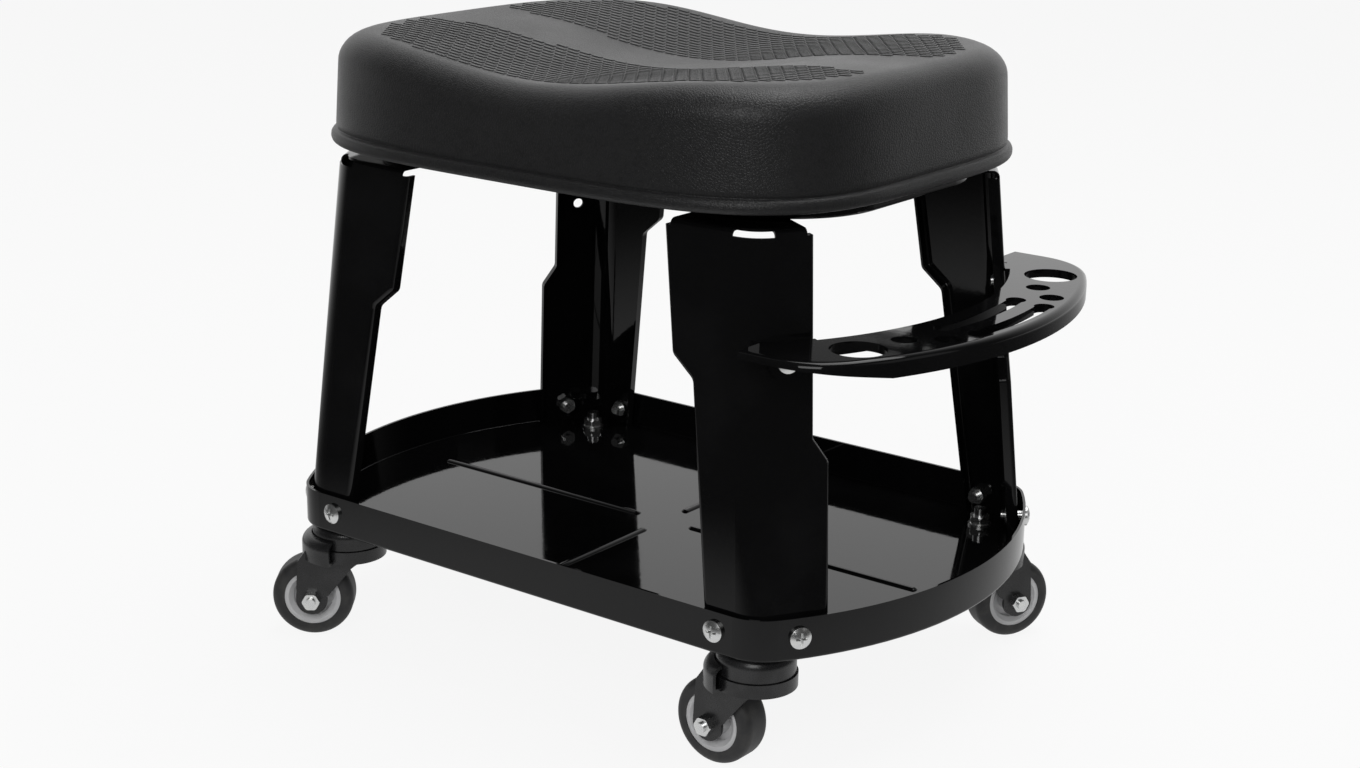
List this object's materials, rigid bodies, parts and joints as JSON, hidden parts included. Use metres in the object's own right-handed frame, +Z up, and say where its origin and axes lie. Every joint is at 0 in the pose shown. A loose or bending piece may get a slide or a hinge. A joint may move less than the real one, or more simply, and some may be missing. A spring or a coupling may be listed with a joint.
{
  "type": "creeper seat",
  "caption": "Rolling workshop seat with a padded saddle top, folded steel legs, parts tray, tool rack and swivel casters.",
  "frame": {"origin": "on the floor, under the middle of the outline", "axes": "+X along the seat towards the tool rack, +Y across it, +Z up"},
  "size_m": [0.4717, 0.3213, 0.3785],
  "materials": {
    "cover": "matte charcoal upholstery cover over foam",
    "board": "bare plywood",
    "powder_coat": "gloss black powder coat",
    "caster_coat": "satin black paint",
    "hub_plastic": "satin light grey plastic",
    "tread": "matte black rubber",
    "bright_steel": "plain steel",
    "zinc": "bright zinc plate"
  },
  "bodies": {
    "frame": {"seat_cushion": "cover", "seat_board": "board", "seat_pan": "powder_coat", "leg_front_left": "powder_coat", "leg_front_right": "powder_coat", "leg_rear_left": "powder_coat", "leg_rear_right": "powder_coat", "tray": "powder_coat", "tool_rack": "powder_coat", "rim_screws": "zinc", "rim_nuts": "zinc", "rack_screws": "zinc", "rack_nuts": "zinc", "seat_screws": "zinc", "caster_washers": "zinc", "caster_nuts": "zinc", "stem_front_left": "bright_steel", "stem_front_right": "bright_steel", "stem_rear_left": "bright_steel", "stem_rear_right": "bright_steel", "race_front_left": "caster_coat", "race_front_right": "caster_coat", "race_rear_left": "caster_coat", "race_rear_right": "caster_coat"},
    "swivel_front_left": {"fork_front_left": "caster_coat", "balls_front_left": "bright_steel", "bush_front_left": "bright_steel", "axle_bolt_front_left": "zinc", "axle_nut_front_left": "zinc"},
    "wheel_front_left": {"hub_front_left": "hub_plastic", "tyre_front_left": "tread"},
    "swivel_front_right": {"fork_front_right": "caster_coat", "balls_front_right": "bright_steel", "bush_front_right": "bright_steel", "axle_bolt_front_right": "zinc", "axle_nut_front_right": "zinc"},
    "wheel_front_right": {"hub_front_right": "hub_plastic", "tyre_front_right": "tread"},
    "swivel_rear_left": {"fork_rear_left": "caster_coat", "balls_rear_left": "bright_steel", "bush_rear_left": "bright_steel", "axle_bolt_rear_left": "zinc", "axle_nut_rear_left": "zinc"},
    "wheel_rear_left": {"hub_rear_left": "hub_plastic", "tyre_rear_left": "tread"},
    "swivel_rear_right": {"fork_rear_right": "caster_coat", "balls_rear_right": "bright_steel", "bush_rear_right": "bright_steel", "axle_bolt_rear_right": "zinc", "axle_nut_rear_right": "zinc"},
    "wheel_rear_right": {"hub_rear_right": "hub_plastic", "tyre_rear_right": "tread"}
  },
  "joints": [
    {"name": "swivel_turn_front_left", "type": "hinge", "parent": "frame", "child": "swivel_front_left", "pos_m": [-0.17058, -0.12521, 0.0523], "axis": [0, 0, 1], "continuous": true},
    {"name": "wheel_spin_front_left", "type": "hinge", "parent": "swivel_front_left", "child": "wheel_front_left", "pos_m": [-0.18831, -0.13891, 0.0254], "axis": [0.6115, -0.7912, 0], "continuous": true},
    {"name": "swivel_turn_front_right", "type": "hinge", "parent": "frame", "child": "swivel_front_right", "pos_m": [0.14243, -0.12521, 0.0523], "axis": [0, 0, 1], "continuous": true},
    {"name": "wheel_spin_front_right", "type": "hinge", "parent": "swivel_front_right", "child": "wheel_front_right", "pos_m": [0.12003, -0.1251, 0.0254], "axis": [-0.0052, -1, 0], "continuous": true},
    {"name": "swivel_turn_rear_left", "type": "hinge", "parent": "frame", "child": "swivel_rear_left", "pos_m": [-0.17058, 0.11629, 0.0523], "axis": [0, 0, 1], "continuous": true},
    {"name": "wheel_spin_rear_left", "type": "hinge", "parent": "swivel_rear_left", "child": "wheel_rear_left", "pos_m": [-0.18998, 0.12749, 0.0254], "axis": [-0.5, -0.866, 0], "continuous": true},
    {"name": "swivel_turn_rear_right", "type": "hinge", "parent": "frame", "child": "swivel_rear_right", "pos_m": [0.14243, 0.11629, 0.0523], "axis": [0, 0, 1], "continuous": true},
    {"name": "wheel_spin_rear_right", "type": "hinge", "parent": "swivel_rear_right", "child": "wheel_rear_right", "pos_m": [0.15393, 0.13551, 0.0254], "axis": [-0.8581, 0.5135, 0], "continuous": true}
  ]
}
